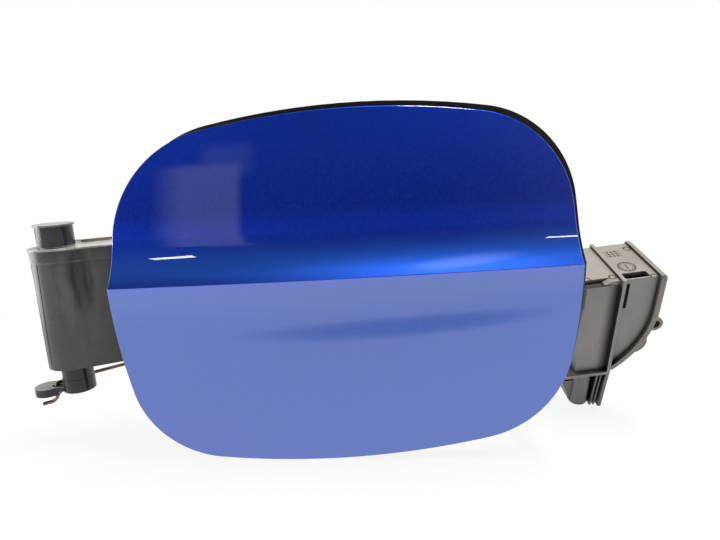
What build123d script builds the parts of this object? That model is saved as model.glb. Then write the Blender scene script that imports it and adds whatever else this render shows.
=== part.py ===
from build123d import *
import os
from math import acos, asin, cos, degrees, pi, radians, sin, sqrt, tan

# Fuel door with its gooseneck hinge and its electric lock, millimetres.
# X runs along the door, Y runs into the car, Z runs up along the hinge axis.
# The origin is on the hinge axis, level with the crease of the door.

# Door outline: every side is a shallow arc, given by its crown and its radius
DOOR_X = 121.2
CREASE_Y = -25.0
HALF_WIDTH = 92.6
TOP_HEIGHT = 64.1
BOTTOM_DEPTH = 80.4
TOP_CROWN_X = 7.3
BOTTOM_CROWN_X = -9.5
RIGHT_CROWN_Z = -3.2
LEFT_CROWN_Z = -6.0
TOP_RADIUS = 320.0
BOTTOM_RADIUS = 370.0
RIGHT_RADIUS = 267.0
LEFT_RADIUS = 260.0
CORNER_TOP_RIGHT = 41.5
CORNER_BOTTOM_RIGHT = 40.7
CORNER_BOTTOM_LEFT = 37.8
CORNER_TOP_LEFT = 45.4

# Door section: the lower field tucks under the crease, a hollow flare runs up from it
LOWER_LEAN = 4.0
LOWER_RADIUS = 1100.0
FLARE_ANGLE = 43.0
FLARE_RADIUS = 32.0
UPPER_LEAN = 8.0
UPPER_RADIUS = 900.0
CREASE_ROUND = 0.45
PLAN_RADIUS = 1500.0
SECTION_MARGIN = 8.0
SKIN_WALL = 2.5
SKIN_EDGE_ROUND = 0.4

# Studs that hold the skin to its carrier
STUD_RADIUS = 2.0
STUD_LENGTH = 6.0
STUD_PLACES = [(-62, 38), (0, 46), (60, 38), (-62, -50), (-10, -60), (38, -58)]
WASHER_RADIUS = 5.0
WASHER_WALL = 0.6
WASHER_LIFT = 0.1

# Carrier behind the skin
BOND_GAP = 0.2
PANEL_WALL = 2.0
RIM_WALL = 2.0
RIM_DEPTH = 7.5
RIM_INSET = 0.8
RIM_SHIFT_X = 2.6
RIM_SHIFT_Z = 2.9
RIB_WALL = 1.6
RIB_DEPTH = 6.0
RIB_COLUMNS = [-40, -14, 30, 52]
RIB_ROWS = [-36, -12, 26]
STUD_PLAY = 0.3
STUD_SEAT = 2.0
STUD_SEAT_RADIUS = 6.0

# Gooseneck arm and hinge barrel
BARREL_RADIUS = 10.6
BARREL_TOP = 14.7
BARREL_BOTTOM = -37.0
ARM_SLOPE = 23.0
ARM_DEPTH = 19.0
ARM_WALL = 2.6
ARM_FRONT_END = 35.0
GAP_RADIUS = 12.0
RIDGE_HEIGHT = 1.2
BARREL_LIP = 0.5
BARREL_LIP_WALL = 0.9
FIELD_STEP = 0.35
FIELD_TOP = 9.2
FIELD_LEFT = -7.6
GROOVE_WIDTH = 0.6
GROOVE_BOTTOM = -34.4
ARM_RIB_PLACES = [22.0, 40.0]
PEG_RADIUS = 2.5
PEG_REACH = 32.0
PEG_DROP = 10.5
PEG_ROOT = 6.0

# Hinge pin, its collar with the spring ear, and the cap on its upper end
PIN_RADIUS = 6.3
PIN_PLAY = 0.05
COLLAR_RADIUS = 6.5
COLLAR_TOP = -43.2
COLLAR_HEIGHT = 5.8
EAR_REACH = 14.0
EAR_RADIUS = 5.5
EAR_WALL = 3.5
EAR_SINK = 4.1
EAR_NECK = 6.5
EAR_FILLET = 2.0
EAR_HOLE_X = -10.5
EAR_HOLE_RADIUS = 1.7
SPIGOT_RADIUS = 4.5
SPIGOT_LENGTH = 7.0
CAP_RADIUS = 7.2
CAP_HEIGHT = 9.3
CAP_FLANGE = 0.65
CAP_FLANGE_WALL = 0.7
CAP_PLAY = 0.025
END_PLAY = 0.3

# Spring wire
WIRE_RADIUS = 0.8
WIRE_LEVEL = -46.3
WIRE_TURNS = [4.3, 1.7, 2.2]
WIRE_HOOK = (-17.0, -1.0, -55.4)
WIRE_HOOK_LEVEL = -54.2
WIRE_HEADING = 39.0
WIRE_LEAD = 3.0
WIRE_TAIL = 6.0
WIRE_CLEAR = 0.3

# Lock: its own frame has U to the right, V into the car and W up, with its origin
# at the front upper corner of the middle flange
LOCK_PLACE = (243.4, 3.0, -14.0)
LOCK_TILT = 19.5
LOCK_ROLL = -2.9
LOCK_YAW = 2.9
LOCK_DEPTH = 34.0
FLANGE_LIP = 1.2
FLANGE_WALL = 1.6
LOCK_WALL = 2.0
FRONT_LIP = 2.5
FRONT_WALL = 1.6
LOCK_LEFT = -16.3
LOCK_RIGHT = 19.0
LOCK_BOTTOM = -52.8
CURVE_START = -18.5
CURVE_RADIUS = 42.6
COVER_WALL = 3.2
COVER_PLAY = 0.1
COVER_FRONT = 0.3
COVER_ROUND = 1.3
COVER_CORNER = 2.2
STEP_WIDTH = 1.5
STEP_DEPTH = 0.4
LEDGE_WALL = 1.7
LEDGE_LEFT = -21.4
NOTCH_DEPTH = 3.2
NOTCH_HEIGHT = 1.8
NOTCH_END = -5.0
NOTCH_TAPER = 4.5
WINDOW_LEFT = 0.8
WINDOW_RIGHT = 12.3
WINDOW_FRONT = 3.2
WINDOW_BACK = 7.6
WINDOW_ROUND = 1.0
SLIT_LEFT = 0.2
SLIT_WIDTH = 1.2
SLIT_TOP = -3.4
SLIT_BOTTOM = -17.0
LUG_RADIUS = 3.6
LUG_HOLE_RADIUS = 2.0
LUG_U = 21.2
LUG_W = -31.0
LUG_FRONT = 5.0
LUG_WALL = 4.0
LUG_WEB = 5.8
DOME_RADII = [6.4, 4.8]
DOME_HEIGHTS = [2.3, 4.3]
DOME_TURN = 31.0
DOME_V = 8.0

# Connector under the lock
SHROUD_LEFT = -15.8
SHROUD_RIGHT = -6.5
SHROUD_FRONT = 1.6
SHROUD_BACK = 23.0
SHROUD_WALL = 1.5
SHROUD_END = -75.0
FIN_WALL = 0.9
FIN_PITCH = 1.9
FIN_COUNT = 2
FIN_BACK = 9.0
FIN_LEAN = 1.5
GUSSET_FRONT = 5.0
GUSSET_WALL = 1.6
GUSSET_RIGHT = -12.2
GUSSET_DROP = 6.5
GUSSET_LOW = -74.0
GUSSET_FOOT = (-16.2, -13.0)
GUSSET_SLOT = (4.5, 1.0)
GUSSET_SLOT_PLACE = (1.6, 5.2)
TERMINAL_SIZE = (0.8, 2.2)
TERMINAL_PITCH = 5.0
TERMINAL_TOP = -46.9
TERMINAL_END = -65.0
TERMINAL_PLAY = 0.05

# Gear train: motor pinion, drive gear with the rack pinion, and the toothed bolt
PRESSURE_ANGLE = 25.0
ADDENDUM = 0.9
DEDENDUM = 1.2
BACKLASH = 0.14
MOTOR_MODULE = 0.7
MOTOR_TEETH = 12
DRIVE_TEETH = 32
RACK_MODULE = 0.85
RACK_TEETH = 12
MOTOR_U = -6.3
MOTOR_W = -38.9
DRIVE_U = 0.6
DRIVE_FRONT = 4.4
DRIVE_FACE = 4.5
RACK_FRONT = 10.8
RACK_FACE = 5.6
AXLE_RADIUS = 1.5
AXLE_PLAY = 0.05
AXLE_SEAT_PLAY = 0.01
AXLE_BOSS = 3.2

# Motor
MOTOR_RADIUS = 7.7
MOTOR_FLATS = 6.4
MOTOR_FRONT = 11.0
MOTOR_LENGTH = 18.0
MOTOR_WALL = 0.8
MOTOR_CAP_WALL = 1.6
SHAFT_RADIUS = 1.0
SHAFT_PLAY = 0.05
SHAFT_TAIL = 0.5
BEARING_RADIUS = 3.0
COMMUTATOR_RADIUS = 2.0
ARMATURE_RADIUS = 4.6
ARMATURE_LENGTH = 9.0
ARMATURE_POLES = 3
ARMATURE_SLOT_WIDTH = 1.0
ARMATURE_SLOT_DEPTH = 2.8
MAGNET_WALL = 1.6
MAGNET_ARC = 90.0
CRADLE_WALL = 2.0
CRADLE_PLACES = [17.5, 25.0]

# Bolt, the fork that guides it, and the catch on the door
BOLT_RADIUS = 4.0
BOLT_PLAY = 0.06
BOLT_TIP = -31.9
BOLT_SHOULDER = -5.0
BOLT_END = 14.4
BOLT_BAR_TOP = 4.2
BOLT_TIP_ROUND = 1.0
SLEEVE_RADIUS = 7.2
CHEEK_RIGHT = -29.5
CHEEK_WALL = 3.0
FORK_GAP = 7.0
FORK_HEIGHT = 9.0
FORK_FRONT = 6.5
FORK_WEB = 3.0
CATCH_WALL = 3.0
CATCH_PLAY = 0.3
CATCH_SIDE = 1.3
CATCH_HALF = 8.2
CATCH_ROUND = 2.0
CATCH_SLOT_HALF = 5.8
CATCH_FOOT_V = -16.0
CATCH_FOOT_LENGTH = 20.0
CATCH_FOOT_WALL = 2.5
CATCH_BEND_ROUND = 2.0
CATCH_SCREW_RADIUS = 1.5
CATCH_SCREW_HEAD = 3.0
CATCH_SCREW_HEAD_WALL = 2.0
CATCH_SCREW_ROUND = 1.0
CATCH_SCREW_LENGTH = 5.0
CATCH_SCREW_PITCH = 9.0
SEAL_RADIUS = 6.2
SEAL_WALL = 2.4

# Rubber stops on the back of the carrier
STOP_PLACES = [(74, 20), (68, -54)]
STOP_RADIUS = 4.0
STOP_LENGTH = 7.0
STOP_ROUND = 1.3
STOP_SHANK_RADIUS = 1.8
STOP_PLAY = 0.1

LOCK = Location(LOCK_PLACE, (LOCK_TILT, LOCK_ROLL, LOCK_YAW))
FAR = 400.0
FIT_PLAY = 0.05


# Door outline and section

def outline(inset, shift_x=0.0, shift_z=0.0):
    """Face of the door outline in the X Z plane, inset by an equal margin all round."""
    discs = []
    for crown_x, crown_z, way_x, way_z, radius in (
        (TOP_CROWN_X, TOP_HEIGHT, 0, 1, TOP_RADIUS),
        (HALF_WIDTH, RIGHT_CROWN_Z, 1, 0, RIGHT_RADIUS),
        (BOTTOM_CROWN_X, -BOTTOM_DEPTH, 0, -1, BOTTOM_RADIUS),
        (-HALF_WIDTH, LEFT_CROWN_Z, -1, 0, LEFT_RADIUS),
    ):
        centre = (crown_x - way_x * radius, crown_z - way_z * radius)
        discs.append(Pos(*centre) * Circle(radius - inset))
    face = discs[0] & discs[1] & discs[2] & discs[3]
    for way_x, way_z, radius in (
        (1, 1, CORNER_TOP_RIGHT),
        (1, -1, CORNER_BOTTOM_RIGHT),
        (-1, -1, CORNER_BOTTOM_LEFT),
        (-1, 1, CORNER_TOP_LEFT),
    ):
        corner = max(face.vertices(), key=lambda v: v.X * way_x + v.Y * way_z)
        face = fillet(corner, radius - inset)
    return Pos(DOOR_X + shift_x, shift_z) * face


def prism(face):
    """The outline carried through the whole depth of the door."""
    return extrude(Plane.XZ * face, FAR / 2, both=True)


FLARE_CENTRE = (-FLARE_RADIUS * cos(radians(FLARE_ANGLE)), FLARE_RADIUS * sin(radians(FLARE_ANGLE)))
FLARE_END = (
    FLARE_CENTRE[0] + FLARE_RADIUS * cos(radians(UPPER_LEAN)),
    FLARE_CENTRE[1] - FLARE_RADIUS * sin(radians(UPPER_LEAN)),
)
LOWER_CENTRE = (LOWER_RADIUS * cos(radians(LOWER_LEAN)), LOWER_RADIUS * sin(radians(LOWER_LEAN)))
UPPER_CENTRE = (
    FLARE_END[0] + UPPER_RADIUS * cos(radians(UPPER_LEAN)),
    FLARE_END[1] - UPPER_RADIUS * sin(radians(UPPER_LEAN)),
)


def section_depth(z):
    """How far the skin's front lies behind the crease at a height, in the door's middle."""
    if z < 0:
        return LOWER_CENTRE[0] - sqrt(LOWER_RADIUS ** 2 - (z - LOWER_CENTRE[1]) ** 2)
    if z < FLARE_END[1]:
        return FLARE_CENTRE[0] + sqrt(FLARE_RADIUS ** 2 - (z - FLARE_CENTRE[1]) ** 2)
    return UPPER_CENTRE[0] - sqrt(UPPER_RADIUS ** 2 - (z - UPPER_CENTRE[1]) ** 2)


def skin_y(x, z, depth):
    """Y of the surface that lies a given depth behind the skin's front."""
    reach = PLAN_RADIUS - section_depth(z) - depth
    return CREASE_Y + PLAN_RADIUS - sqrt(reach ** 2 - (x - DOOR_X) ** 2)


def section_line(depth):
    """The section's arcs from the lower edge to the upper edge, moved back by a depth."""
    low = -BOTTOM_DEPTH - SECTION_MARGIN
    high = TOP_HEIGHT + SECTION_MARGIN

    def at(z):
        return (section_depth(z) + depth, z)

    flare_end = (FLARE_END[0] + depth, FLARE_END[1])
    return [
        ThreePointArc(at(low), at(low / 2), (depth, 0)),
        ThreePointArc((depth, 0), at(FLARE_END[1] / 2), flare_end),
        ThreePointArc(flare_end, at((FLARE_END[1] + high) / 2), at(high)),
    ]


def shell(front, back):
    """Layer of the door between two depths, crowned across the door's width."""
    first = section_line(front)
    last = section_line(back)
    ends = [Line(first[0] @ 0, last[0] @ 0), Line(first[2] @ 1, last[2] @ 1)]
    face = make_face([*first, *last, *ends])
    creases = [v for v in face.vertices() if abs(v.Y) < CREASE_ROUND / 10]
    face = fillet(creases, CREASE_ROUND)
    axis = Axis((DOOR_X, CREASE_Y + PLAN_RADIUS, 0), (0, 0, 1))
    half_turn = degrees(asin((HALF_WIDTH + SECTION_MARGIN) / PLAN_RADIUS))
    middle = Plane((DOOR_X, CREASE_Y, 0), x_dir=(0, 1, 0), z_dir=(1, 0, 0))
    return revolve((middle * face).rotate(axis, -half_turn), axis, 2 * half_turn)


PANEL_FRONT = SKIN_WALL + BOND_GAP
PANEL_BACK = PANEL_FRONT + PANEL_WALL


def along_y(radius, x, z, front, back):
    """Round bar along Y."""
    return Pos(x, (front + back) / 2, z) * Rot(90, 0, 0) * Cylinder(radius, back - front)


def along_z(radius, low, high, x=0.0, y=0.0):
    """Round bar along Z."""
    return Pos(x, y, (low + high) / 2) * Cylinder(radius, high - low)


def block(x, y, z):
    """Box between the two limits given for each axis."""
    size = [limits[1] - limits[0] for limits in (x, y, z)]
    middle = [(limits[0] + limits[1]) / 2 for limits in (x, y, z)]
    return Pos(*middle) * Box(*size)


# Door skin

def on_front_rim(edge):
    """True for an edge that the outline cuts out of the skin's front."""
    point = edge @ 0.5
    on_front = abs(point.Y - skin_y(point.X, point.Z, 0)) < SKIN_WALL / 10
    across = abs((edge @ 0).X - (edge @ 1).X) > HALF_WIDTH and point.Z < TOP_HEIGHT / 2
    return on_front and not (across and point.Z > -BOTTOM_DEPTH / 2)


def stud_line(place):
    """X, Z, root and free end of one stud."""
    x = DOOR_X + place[0]
    z = place[1]
    return x, z, skin_y(x, z, SKIN_WALL / 2), skin_y(x, z, PANEL_BACK) + STUD_LENGTH


def seat_y(x, z):
    """Level of the flat seat round a stud on the carrier's back."""
    return skin_y(x, z, PANEL_BACK) + STUD_SEAT


def door_skin():
    """Painted outer panel with its mounting studs."""
    skin = shell(0, SKIN_WALL) & prism(outline(0))
    skin = fillet(skin.edges().filter_by(on_front_rim), SKIN_EDGE_ROUND)
    for place in STUD_PLACES:
        x, z, root, end = stud_line(place)
        skin += along_y(STUD_RADIUS, x, z, root, end)
    return skin


def stud_washers():
    """Push-on spring washers on the skin's studs."""
    washers = []
    for place in STUD_PLACES:
        x, z, root, end = stud_line(place)
        front = seat_y(x, z) + WASHER_LIFT
        disc = along_y(WASHER_RADIUS, x, z, front, front + WASHER_WALL)
        washers.append(disc - along_y(STUD_RADIUS, x, z, root, end))
    return washers


# Carrier with its gooseneck arm

ARM_WAY = Vector(cos(radians(ARM_SLOPE)), sin(radians(ARM_SLOPE)))
ARM_BACK = Vector(-sin(radians(ARM_SLOPE)), cos(radians(ARM_SLOPE)))
ARM_START = ARM_BACK * -BARREL_RADIUS
ARM_BEND = ARM_START + ARM_WAY * ((ARM_FRONT_END - ARM_START.X) / ARM_WAY.X)
GAP_CENTRE = ARM_BEND - ARM_BACK * GAP_RADIUS


def arm_line(offset):
    """Edges of one side of the gooseneck in plan, a given way behind its front."""
    start = ARM_START + ARM_BACK * offset
    bend = ARM_BEND + ARM_BACK * offset
    radius = GAP_RADIUS + offset
    half = radians((ARM_SLOPE + 90) / 2)
    middle = GAP_CENTRE + Vector(cos(half), sin(half)) * radius
    foot = GAP_CENTRE + Vector(radius, 0)
    toe = Vector(foot.X, CREASE_Y)
    return [Line(start, bend), ThreePointArc(bend, middle, foot), Line(foot, toe)]


def channel(near, far):
    """Plan face of the gooseneck between two distances behind its front."""
    first = arm_line(near)
    last = arm_line(far)
    ends = [Line(first[0] @ 0, last[0] @ 0), Line(first[2] @ 1, last[2] @ 1)]
    return make_face([*first, *last, *ends])


def rise(face, low, high):
    """A plan face raised between two heights."""
    return extrude(Pos(0, 0, low) * face, high - low)


def barrel_field():
    """Shallow field moulded into the front of the barrel and the arm."""
    shift = ARM_BACK * FIELD_STEP
    crescent = Circle(BARREL_RADIUS) - Pos(shift.X, shift.Y) * Circle(BARREL_RADIUS)
    beside_arm = Pos(-BARREL_RADIUS, 0) * Rectangle(2 * BARREL_RADIUS, 4 * BARREL_RADIUS)
    face = (crescent & Rot(0, 0, ARM_SLOPE) * beside_arm) + channel(0, FIELD_STEP)
    return rise(face, BARREL_BOTTOM, FIELD_TOP)


def field_groove():
    """Narrow seam at the left end of the moulded field."""
    front = -sqrt(BARREL_RADIUS ** 2 - FIELD_LEFT ** 2)
    sides = (FIELD_LEFT - GROOVE_WIDTH, FIELD_LEFT)
    return block(sides, (-BARREL_RADIUS, front + GROOVE_WIDTH), (GROOVE_BOTTOM, FIELD_TOP))


WIRE_WAY = Vector(cos(radians(WIRE_HEADING)), sin(radians(WIRE_HEADING)))
WIRE_BACK = Vector(-WIRE_WAY.Y, WIRE_WAY.X)
WIRE_FOOT = WIRE_BACK * (COLLAR_RADIUS + WIRE_CLEAR + WIRE_RADIUS)


def spring_peg():
    """Peg under the arm that the spring wire pushes, on a lug behind the arm."""
    place = WIRE_FOOT + WIRE_WAY * PEG_REACH - WIRE_BACK * (PEG_RADIUS + WIRE_CLEAR + WIRE_RADIUS)
    reach = place.dot(ARM_BACK) + BARREL_RADIUS - ARM_DEPTH + ARM_WALL / 2
    plan = Pos(-reach / 2, 0) * Rectangle(reach, 2 * PEG_RADIUS) + Circle(PEG_RADIUS)
    plan = Pos(place.X, place.Y) * Rot(0, 0, ARM_SLOPE + 90) * plan
    lug = rise(plan, BARREL_BOTTOM, BARREL_BOTTOM + PEG_ROOT)
    return lug + along_z(PEG_RADIUS, BARREL_BOTTOM - PEG_DROP, BARREL_BOTTOM, place.X, place.Y)


def gooseneck():
    """Hollow arm, open below, with the hinge barrel and the peg for the spring wire."""
    barrel = along_z(BARREL_RADIUS, BARREL_BOTTOM, BARREL_TOP)
    lip = channel(-BARREL_LIP, ARM_WALL) + Circle(BARREL_RADIUS + BARREL_LIP)
    barrel += rise(lip, BARREL_TOP - BARREL_LIP_WALL, BARREL_TOP)
    arm = rise(channel(0, ARM_DEPTH), BARREL_BOTTOM, BARREL_TOP)
    arm -= rise(channel(ARM_WALL, ARM_DEPTH - ARM_WALL), BARREL_BOTTOM, BARREL_TOP - ARM_WALL)
    ridge = rise(channel(ARM_DEPTH - ARM_WALL, ARM_DEPTH), BARREL_TOP, BARREL_TOP + RIDGE_HEIGHT)
    arm += ridge - along_z(BARREL_RADIUS, BARREL_TOP, BARREL_TOP + RIDGE_HEIGHT)
    across = channel(ARM_WALL / 2, ARM_DEPTH - ARM_WALL / 2)
    webs = rise(across, BARREL_BOTTOM + ARM_WALL, BARREL_TOP - ARM_WALL / 2)
    for x in ARM_RIB_PLACES:
        arm += webs & block((x, x + RIB_WALL), (-FAR, FAR), (-FAR, FAR))
    arm = arm + spring_peg() + barrel - barrel_field() - field_groove()
    behind_panel = shell(PANEL_FRONT + PANEL_WALL / 4, FAR / 4)
    beside_panel = block((-FAR, DOOR_X - HALF_WIDTH - SECTION_MARGIN / 2), (-FAR, FAR), (-FAR, FAR))
    arm = (arm & beside_panel) + (arm & behind_panel)
    return arm - along_z(PIN_RADIUS + PIN_PLAY, BARREL_BOTTOM, BARREL_TOP)


def rim_outline(inset):
    """Outline of the carrier, which stands a little past the skin at the top right."""
    return outline(RIM_INSET + inset, RIM_SHIFT_X, RIM_SHIFT_Z)


def panel_ribs():
    """Stiffening ribs across the carrier's back."""
    plates = []
    for x in RIB_COLUMNS:
        plates.append(block((DOOR_X + x, DOOR_X + x + RIB_WALL), (-FAR, FAR), (-FAR, FAR)))
    for z in RIB_ROWS:
        plates.append(block((-FAR, FAR), (-FAR, FAR), (z, z + RIB_WALL)))
    grid = plates[0]
    for plate in plates[1:]:
        grid += plate
    layer = shell(PANEL_FRONT + PANEL_WALL / 2, PANEL_BACK + RIB_DEPTH)
    return layer & prism(rim_outline(RIM_WALL / 2)) & grid


def hinge_carrier():
    """Inner panel, rim, ribs, seats and gooseneck, one moulding."""
    carrier = shell(PANEL_FRONT, PANEL_BACK) & prism(rim_outline(0))
    edge = prism(rim_outline(0) - rim_outline(RIM_WALL))
    carrier += shell(PANEL_FRONT, PANEL_FRONT + RIM_DEPTH) & edge
    carrier += panel_ribs()
    carrier += gooseneck()
    carrier += catch_pad()
    for place in STUD_PLACES:
        x, z, root, end = stud_line(place)
        seat = seat_y(x, z)
        carrier += along_y(STUD_SEAT_RADIUS, x, z, skin_y(x, z, PANEL_FRONT + PANEL_WALL / 2), seat)
        carrier -= along_y(WASHER_RADIUS + STUD_PLAY, x, z, seat, seat + RIB_DEPTH)
        carrier -= along_y(STUD_RADIUS + STUD_PLAY, x, z, root, end)
    for place in STOP_PLACES:
        x, z, root, top = stop_line(place)
        carrier += along_y(STOP_RADIUS, x, z, root, top)
        carrier -= along_y(STOP_SHANK_RADIUS + STOP_PLAY, x, z, top - STOP_LENGTH / 2, top)
        carrier -= along_y(STOP_RADIUS + STUD_PLAY, x, z, top, top + RIB_DEPTH)
    return carrier - catch_seat()


def stop_line(place):
    """X, Z, root and top of the boss under one rubber stop."""
    x = DOOR_X + place[0]
    z = place[1]
    return x, z, skin_y(x, z, PANEL_FRONT + PANEL_WALL / 2), skin_y(x, z, PANEL_BACK) + RIB_DEPTH


def bump_stops():
    """Rubber stops, pressed into their bosses."""
    stops = []
    for place in STOP_PLACES:
        x, z, _, top = stop_line(place)
        head = along_y(STOP_RADIUS, x, z, top, top + STOP_LENGTH)
        head = fillet(head.edges().sort_by(Axis.Y)[-1], STOP_ROUND)
        shank = along_y(STOP_SHANK_RADIUS, x, z, top - STOP_LENGTH / 2 + STOP_PLAY, top)
        stops.append(head + shank)
    return stops


# Hinge pin, cap and spring wire

def hinge_pin():
    """Pin with its spigot above, and its collar and spring ear below."""
    top = BARREL_TOP + END_PLAY
    low = COLLAR_TOP - COLLAR_HEIGHT
    ear_top = COLLAR_TOP - EAR_SINK
    pin = along_z(PIN_RADIUS, low, top) + along_z(SPIGOT_RADIUS, top, top + SPIGOT_LENGTH)
    pin += along_z(COLLAR_RADIUS, low, COLLAR_TOP)
    ear = Pos(-EAR_REACH, 0) * Circle(EAR_RADIUS) + Circle(COLLAR_RADIUS)
    ear += Pos(-EAR_REACH / 2, 0) * Rectangle(EAR_REACH, EAR_NECK)
    ear = fillet([v for v in ear.vertices() if abs(abs(v.Y) - EAR_NECK / 2) < FIT_PLAY], EAR_FILLET)
    ear -= Pos(EAR_HOLE_X, 0) * Circle(EAR_HOLE_RADIUS)
    ear_low = ear_top - EAR_WALL
    below_collar = along_z(COLLAR_RADIUS + EAR_FILLET, ear_low, low)
    return pin + (rise(ear, ear_low, ear_top) - below_collar)


def hinge_cap():
    """Flanged cap, pressed on the pin's spigot."""
    low = BARREL_TOP + END_PLAY
    high = low + CAP_HEIGHT
    cap = along_z(CAP_RADIUS, low, high)
    cap += along_z(CAP_RADIUS + CAP_FLANGE, high - CAP_FLANGE_WALL, high)
    return cap - along_z(SPIGOT_RADIUS + CAP_PLAY, low, low + SPIGOT_LENGTH + END_PLAY)


def spring_wire():
    """Round wire: hooked through the ear, bent round the collar, resting on the arm's peg."""
    lead = WIRE_FOOT - WIRE_WAY * WIRE_LEAD
    tail = WIRE_FOOT + WIRE_WAY * (PEG_REACH + WIRE_TAIL)
    points = [
        WIRE_HOOK,
        (EAR_HOLE_X, 0, WIRE_HOOK_LEVEL),
        (EAR_HOLE_X, 0, WIRE_LEVEL),
        (lead.X, lead.Y, WIRE_LEVEL),
        (tail.X, tail.Y, WIRE_LEVEL),
    ]
    path = FilletPolyline(*points, radius=WIRE_TURNS)
    section = Plane(path @ 0, z_dir=path % 0) * Circle(WIRE_RADIUS)
    return sweep(section, path)


# Catch on the door, in the lock's own frame

MOTOR_PITCH_RADIUS = MOTOR_MODULE * MOTOR_TEETH / 2
DRIVE_PITCH_RADIUS = MOTOR_MODULE * DRIVE_TEETH / 2
RACK_PITCH_RADIUS = RACK_MODULE * RACK_TEETH / 2
GEAR_DISTANCE = MOTOR_PITCH_RADIUS + DRIVE_PITCH_RADIUS
DRIVE_W = MOTOR_W + sqrt(GEAR_DISTANCE ** 2 - (DRIVE_U - MOTOR_U) ** 2)
RACK_LINE = DRIVE_W + RACK_PITCH_RADIUS
RACK_ROOT = RACK_LINE + DEDENDUM * RACK_MODULE
BOLT_V = RACK_FRONT + RACK_FACE / 2
BOLT_W = RACK_ROOT + BOLT_RADIUS
FORK_RIGHT = CHEEK_RIGHT - CHEEK_WALL
FORK_LEFT = FORK_RIGHT - FORK_GAP
CATCH_LEFT = FORK_LEFT + CATCH_SIDE
CATCH_RIGHT = CATCH_LEFT + CATCH_WALL
CATCH_FOOT_END = CATCH_RIGHT - CATCH_FOOT_LENGTH
CATCH_SIDES = (BOLT_W - CATCH_HALF, BOLT_W + CATCH_HALF)


def along_u(radius, left, right, v=BOLT_V, w=BOLT_W):
    """Round bar along U."""
    return Pos((left + right) / 2, v, w) * Rot(0, 90, 0) * Cylinder(radius, right - left)


def catch_pad():
    """Raised seat on the carrier for the catch plate, which the rim and ribs run into."""
    pad = block((CATCH_FOOT_END, CATCH_RIGHT), (-FAR / 4, CATCH_FOOT_V), CATCH_SIDES)
    return (LOCK * pad) & shell(PANEL_FRONT + PANEL_WALL / 4, FAR / 4)


def catch_seat():
    """Space over the catch pad and the screw holes in it."""
    over = (CATCH_FOOT_V, CATCH_FOOT_V + RIB_DEPTH)
    room = block((CATCH_FOOT_END - STUD_PLAY, CATCH_RIGHT), over, CATCH_SIDES)
    low = CATCH_FOOT_V - CATCH_SCREW_LENGTH
    for w in catch_screw_levels():
        room += along_y(CATCH_SCREW_RADIUS + STOP_PLAY, catch_screw_u(), w, low, CATCH_FOOT_V)
    return LOCK * room


def catch_screw_levels():
    """W of the two catch screws."""
    return [BOLT_W - CATCH_SCREW_PITCH / 2, BOLT_W + CATCH_SCREW_PITCH / 2]


def catch_screw_u():
    """U of the catch screws, in the middle of the foot."""
    return (CATCH_FOOT_END + CATCH_LEFT) / 2


def catch_plate():
    """Bent plate with a square slot, open above, round the bolt's line, and a screwed foot."""
    length = BOLT_V + CATCH_HALF - CATCH_FOOT_V
    side = Pos(CATCH_FOOT_V + length / 2, BOLT_W) * Rectangle(length, 2 * CATCH_HALF)
    side = fillet(side.vertices().sort_by(Axis.X)[-2:], CATCH_ROUND)
    slot_low = BOLT_W - CATCH_SLOT_HALF
    slot_high = BOLT_W + CATCH_HALF
    slot = Rectangle(2 * CATCH_SLOT_HALF, slot_high - slot_low)
    side -= Pos(BOLT_V, (slot_low + slot_high) / 2) * slot
    plate = extrude(Plane.YZ.offset(CATCH_LEFT) * side, CATCH_WALL)
    seat = CATCH_FOOT_V + CATCH_FOOT_WALL
    foot = block((CATCH_FOOT_END, CATCH_RIGHT), (CATCH_FOOT_V, seat), CATCH_SIDES)
    for w in catch_screw_levels():
        foot -= along_y(CATCH_SCREW_RADIUS + STOP_PLAY, catch_screw_u(), w, CATCH_FOOT_V, seat)
    plate += foot
    bends = [e for e in plate.edges().filter_by(Axis.Z) if abs(e.center().X - CATCH_LEFT) < FIT_PLAY]
    plate = fillet(min(bends, key=lambda e: e.center().Y), CATCH_BEND_ROUND)
    return LOCK * plate


def catch_screws():
    """Pan screws of the catch plate."""
    screws = []
    seat = CATCH_FOOT_V + CATCH_FOOT_WALL
    end = CATCH_FOOT_V - CATCH_SCREW_LENGTH + STOP_PLAY
    for w in catch_screw_levels():
        head = along_y(CATCH_SCREW_HEAD, catch_screw_u(), w, seat, seat + CATCH_SCREW_HEAD_WALL)
        head = fillet(head.edges().sort_by(Axis.Y)[-1], CATCH_SCREW_ROUND)
        shank = along_y(CATCH_SCREW_RADIUS, catch_screw_u(), w, end, seat)
        screws.append(LOCK * (head + shank))
    return screws


# Lock housing and cover, in the lock's own frame

BOX_TOP = -FLANGE_LIP
BOX_FRONT = FRONT_LIP
BOX_BACK = LOCK_DEPTH - FLANGE_LIP
CURVE_CENTRE = (LOCK_RIGHT - CURVE_RADIUS, CURVE_START)
COVER_SEAT = COVER_WALL + COVER_PLAY


def side_line(inset):
    """Right side of the lock seen from the front: straight above, swept in below."""
    radius = CURVE_RADIUS - inset
    low = (CURVE_CENTRE[0] + sqrt(radius ** 2 - (LOCK_BOTTOM - CURVE_START) ** 2), LOCK_BOTTOM)
    half = acos((low[0] - CURVE_CENTRE[0]) / radius) / 2
    middle = (CURVE_CENTRE[0] + radius * cos(half), CURVE_START - radius * sin(half))
    start = (LOCK_RIGHT - inset, CURVE_START)
    return start, middle, low


def side_face(inset, left, top):
    """Face left of the swept side, out to a left limit and up to a top limit."""
    start, middle, low = side_line(inset)
    corner = (start[0], top)
    return make_face([
        ThreePointArc(start, middle, low),
        Line(low, (left, LOCK_BOTTOM)),
        Line((left, LOCK_BOTTOM), (left, top)),
        Line((left, top), corner),
        Line(corner, start),
    ])


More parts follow.
